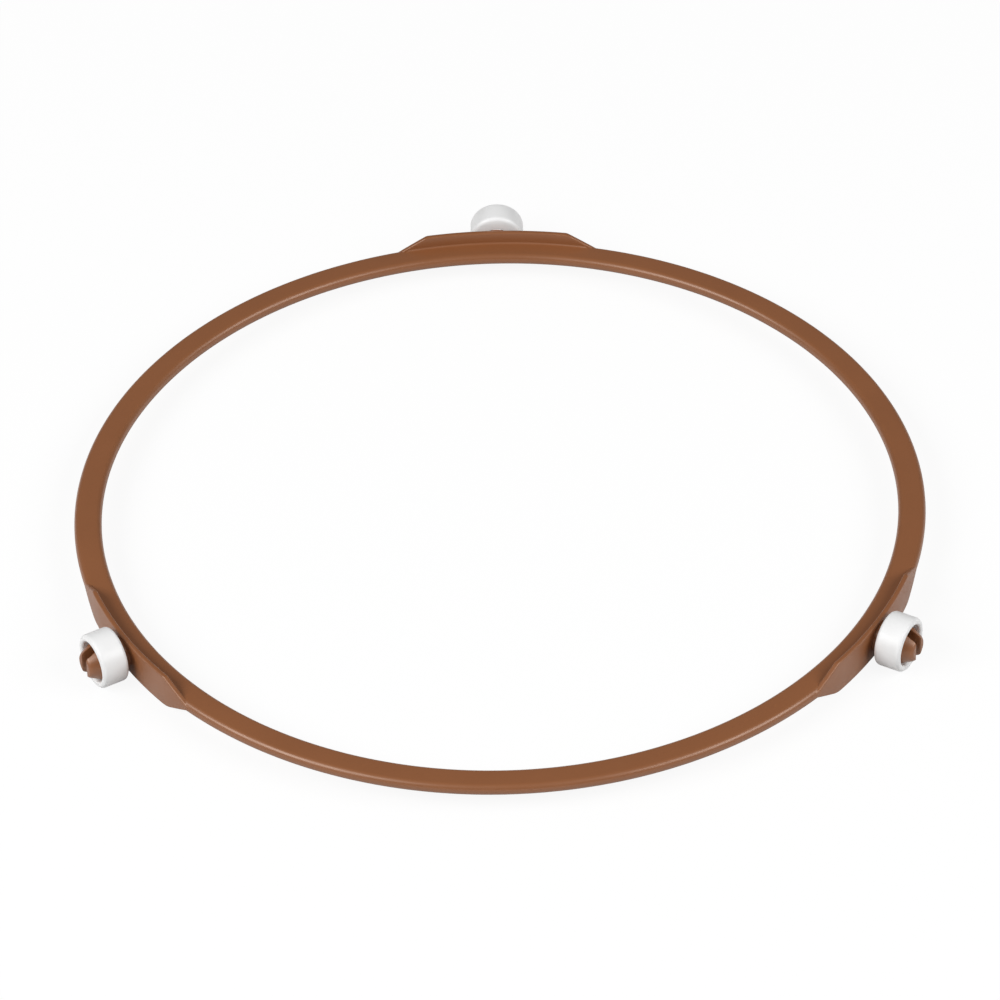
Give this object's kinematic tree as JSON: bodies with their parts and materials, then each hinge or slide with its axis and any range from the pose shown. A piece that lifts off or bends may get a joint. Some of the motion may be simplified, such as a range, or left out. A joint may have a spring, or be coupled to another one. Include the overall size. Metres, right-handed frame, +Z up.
{
  "type": "microwave roller ring",
  "caption": "Flat round plastic ring with curved upright walls that carry rollers on split snap pins, guiding and carrying a turning glass tray over an oven floor.",
  "frame": {"origin": "on the ring's axis, on the plane that the rollers stand on", "axes": "+Z up along the ring's axis, +Y towards the back roller, +X to the right"},
  "size_m": [0.215, 0.2257, 0.014],
  "materials": {
    "brown_plastic": "satin",
    "white_plastic": "satin"
  },
  "bodies": {
    "ring": {"ring_frame": "brown_plastic"},
    "back_roller": {"roller_back": "white_plastic"},
    "left_roller": {"roller_left": "white_plastic"},
    "right_roller": {"roller_right": "white_plastic"}
  },
  "joints": [
    {"name": "back_roller_spin", "type": "hinge", "parent": "ring", "child": "back_roller", "pos_m": [0, 0.11265, 0.007], "axis": [0, 1, 0], "continuous": true},
    {"name": "left_roller_spin", "type": "hinge", "parent": "ring", "child": "left_roller", "pos_m": [-0.09756, -0.05633, 0.007], "axis": [-0.866, -0.5, 0], "continuous": true},
    {"name": "right_roller_spin", "type": "hinge", "parent": "ring", "child": "right_roller", "pos_m": [0.09756, -0.05633, 0.007], "axis": [0.866, -0.5, 0], "continuous": true}
  ]
}
